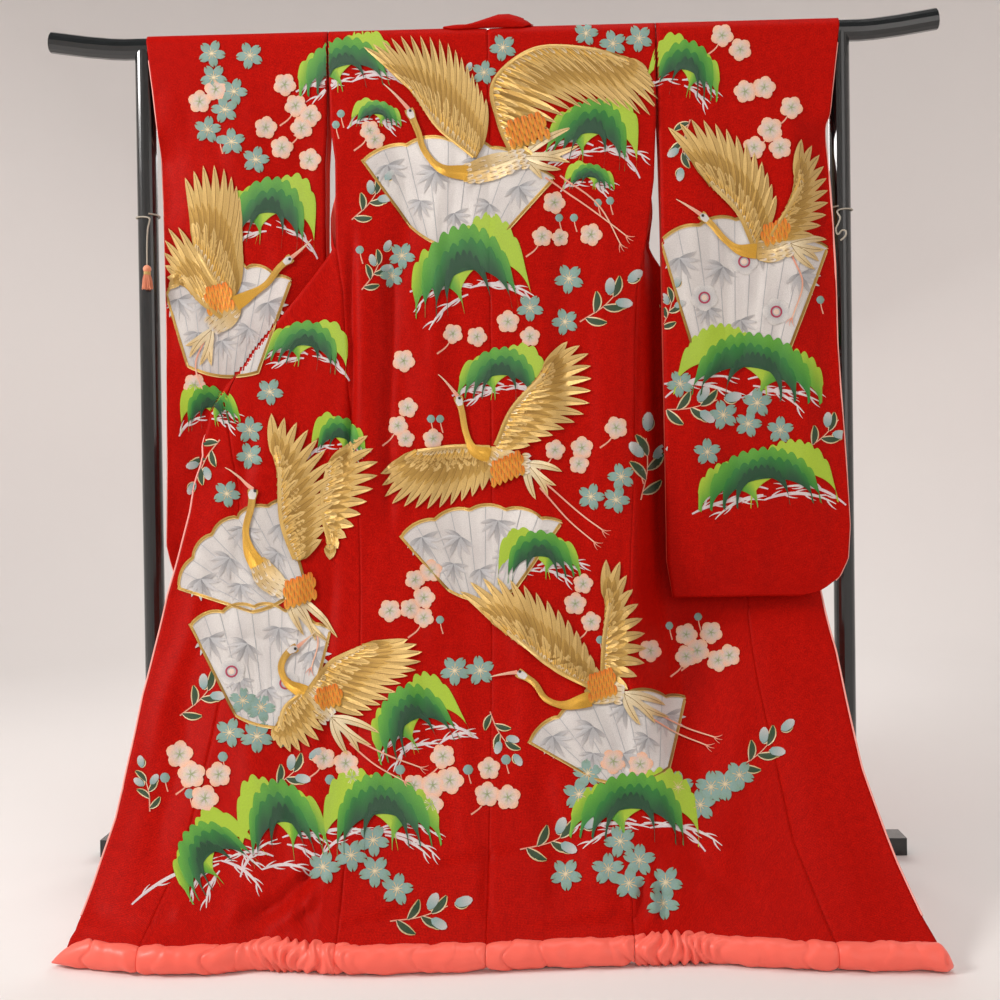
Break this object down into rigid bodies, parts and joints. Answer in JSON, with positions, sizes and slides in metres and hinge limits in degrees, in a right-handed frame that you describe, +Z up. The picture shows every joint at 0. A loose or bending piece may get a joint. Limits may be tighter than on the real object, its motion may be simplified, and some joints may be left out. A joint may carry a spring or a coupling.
{
  "type": "uchikake wedding kimono on a kimono stand",
  "caption": "Long-sleeved padded-hem wedding over-kimono hung back outward on a round-bar lacquered stand, skirt spread forward on the floor",
  "frame": {"origin": "middle of the footprint, on the floor", "axes": "+Z up, X along the stand's bar, the garment's back faces -Y"},
  "size_m": [1.6656, 0.7562, 1.5728],
  "materials": {
    "brocade": "woven silk with a soft sheen",
    "satin": "padded coral satin",
    "lacquer": "polished black lacquer",
    "cord": "matte braided cord",
    "silk": "loose silk strands"
  },
  "bodies": {
    "root": {"body_left": "brocade", "body_right": "brocade", "collar": "brocade", "hem_roll_back_left": "satin", "hem_roll_back_right": "satin", "hem_roll_front_left": "satin", "hem_roll_front_right": "satin", "hem_roll_okumi_left": "satin", "hem_roll_okumi_right": "satin", "okumi_left": "brocade", "okumi_right": "brocade", "sleeve_left": "brocade", "sleeve_right": "brocade", "stand_foot_left": "lacquer", "stand_foot_right": "lacquer", "stand_lower_rail": "lacquer", "stand_post_left": "lacquer", "stand_post_right": "lacquer", "stand_top_bar": "lacquer", "tie_cord_left": "cord", "tie_cord_right": "cord", "tie_tassel_left": "silk"}
  },
  "joints": []
}
